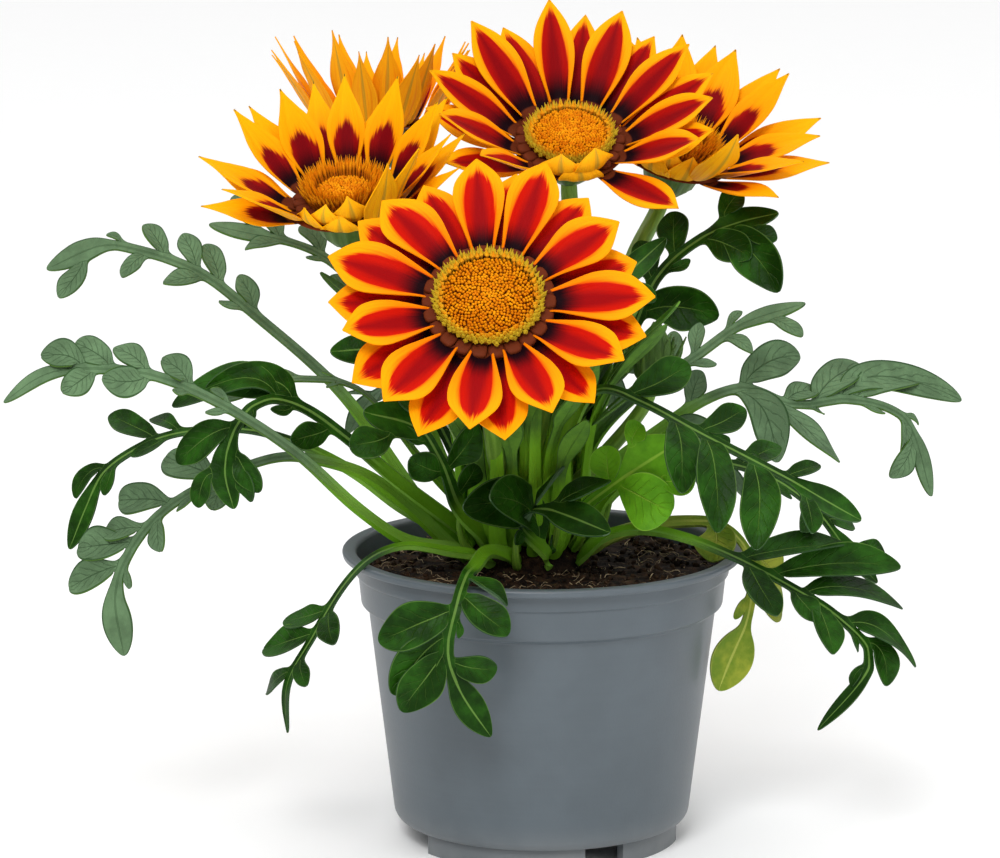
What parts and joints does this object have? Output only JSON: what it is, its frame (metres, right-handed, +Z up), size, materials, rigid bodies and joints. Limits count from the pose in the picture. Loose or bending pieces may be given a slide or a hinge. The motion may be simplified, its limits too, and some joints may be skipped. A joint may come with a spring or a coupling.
{
  "type": "potted gazania",
  "caption": "Gazania in a round plastic nursery pot: lobed leaves arching over the rim, striped daisy flowers at several stages and a closed bud.",
  "frame": {"origin": "on the surface the pot stands on, under the middle of the whole plant's spread; the pot's own axis stands 10.6 mm towards +X and 4.2 mm towards -Y of it", "axes": "+Z up along the pot's axis, -Y towards the side the front flower faces, +X to that viewer's right, the plant's widest direction"},
  "size_m": [0.2846, 0.2032, 0.2484],
  "materials": {
    "pot": "satin",
    "compost": "matte",
    "crown": "matte",
    "leaf": "satin",
    "leaf_bright": "satin",
    "leaf_yellowing": "satin",
    "stem": "satin",
    "bract": "satin",
    "petal": "satin",
    "disc": "matte"
  },
  "bodies": {
    "root": {"pot": "pot", "compost": "compost", "crown": "crown", "bud": "bract", "stem_bud": "stem", "leaf_left_high": "leaf", "leaf_left_long": "leaf", "leaf_left_dark": "leaf", "leaf_left_far": "leaf", "leaf_left_low": "leaf", "leaf_rim_left": "leaf", "leaf_rim_front": "leaf", "leaf_right_dark": "leaf", "leaf_right_long": "leaf", "leaf_right_high": "leaf", "leaf_rim_right": "leaf", "leaf_rim_yellow": "leaf_yellowing", "leaf_right_low": "leaf", "leaf_left_arch": "leaf", "leaf_behind_left_flower": "leaf", "leaf_behind_front_flower": "leaf", "leaf_under_front_flower": "leaf", "leaf_front_young": "leaf", "leaf_bright_young": "leaf_bright", "leaf_right_upright": "leaf", "leaf_behind_bud": "leaf", "leaf_back_left": "leaf", "leaf_back_middle": "leaf", "leaf_back_right": "leaf", "leaf_back_low": "leaf", "stem_front": "stem", "cup_front": "bract", "petals_front": "petal", "disc_front": "disc", "stem_top": "stem", "cup_top": "bract", "petals_top": "petal", "disc_top": "disc", "stem_left": "stem", "cup_left": "bract", "petals_left": "petal", "disc_left": "disc", "stem_back": "stem", "cup_back": "bract", "petals_back": "petal", "disc_back": "disc", "stem_right": "stem", "cup_right": "bract", "petals_right": "petal", "disc_right": "disc"}
  },
  "joints": []
}
